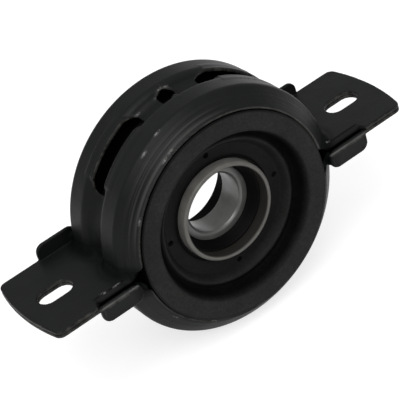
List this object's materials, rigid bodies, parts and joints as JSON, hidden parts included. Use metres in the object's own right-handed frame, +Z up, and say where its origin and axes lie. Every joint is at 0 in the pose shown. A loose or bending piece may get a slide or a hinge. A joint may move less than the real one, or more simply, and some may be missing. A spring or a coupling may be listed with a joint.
{
  "type": "driveshaft centre bearing",
  "caption": "Driveshaft centre bearing: a sealed ball bearing in a rubber cushion, clamped between stamped half shells with slotted ears, carries the middle of a split shaft.",
  "frame": {"origin": "on the shaft axis, in the plane where the two shells meet, midway between the two long edges of the ears", "axes": "+X along the ears, +Y along the shaft towards the rear, +Z up, square to the ears"},
  "size_m": [0.214, 0.0576, 0.1256],
  "materials": {
    "shell_paint": "satin black paint",
    "cushion_rubber": "moulded matt black",
    "sleeve_steel": "bare, slightly dull",
    "ring_steel": "ground bright",
    "ball_steel": "polished",
    "cage_steel": "pressed sheet",
    "seal_case_steel": "pressed sheet",
    "seal_rubber": "smooth black"
  },
  "bodies": {
    "housing": {"upper_shell": "shell_paint", "lower_shell": "shell_paint", "rubber_cushion": "cushion_rubber", "carrier_sleeve": "sleeve_steel", "outer_ring": "ring_steel", "front_seal_case": "seal_case_steel", "front_seal_lip": "seal_rubber", "rear_seal_case": "seal_case_steel", "rear_seal_lip": "seal_rubber"},
    "inner_race": {"inner_ring": "ring_steel"},
    "ball_set": {"front_cage_half": "cage_steel", "rear_cage_half": "cage_steel", "cage_rivets": "cage_steel", "ball_1": "ball_steel", "ball_2": "ball_steel", "ball_3": "ball_steel", "ball_4": "ball_steel", "ball_5": "ball_steel", "ball_6": "ball_steel", "ball_7": "ball_steel", "ball_8": "ball_steel", "ball_9": "ball_steel", "ball_10": "ball_steel", "ball_11": "ball_steel"}
  },
  "joints": [
    {"name": "shaft_spin", "type": "hinge", "parent": "housing", "child": "inner_race", "pos_m": [0, 0, 0], "axis": [0, 1, 0], "continuous": true},
    {"name": "ball_set_spin", "type": "hinge", "parent": "housing", "child": "ball_set", "pos_m": [0, 0, 0], "axis": [0, 1, 0], "continuous": true}
  ],
  "couplings": [
    {"joint": "ball_set_spin", "follows": "shaft_spin", "ratio": 0.4165}
  ]
}
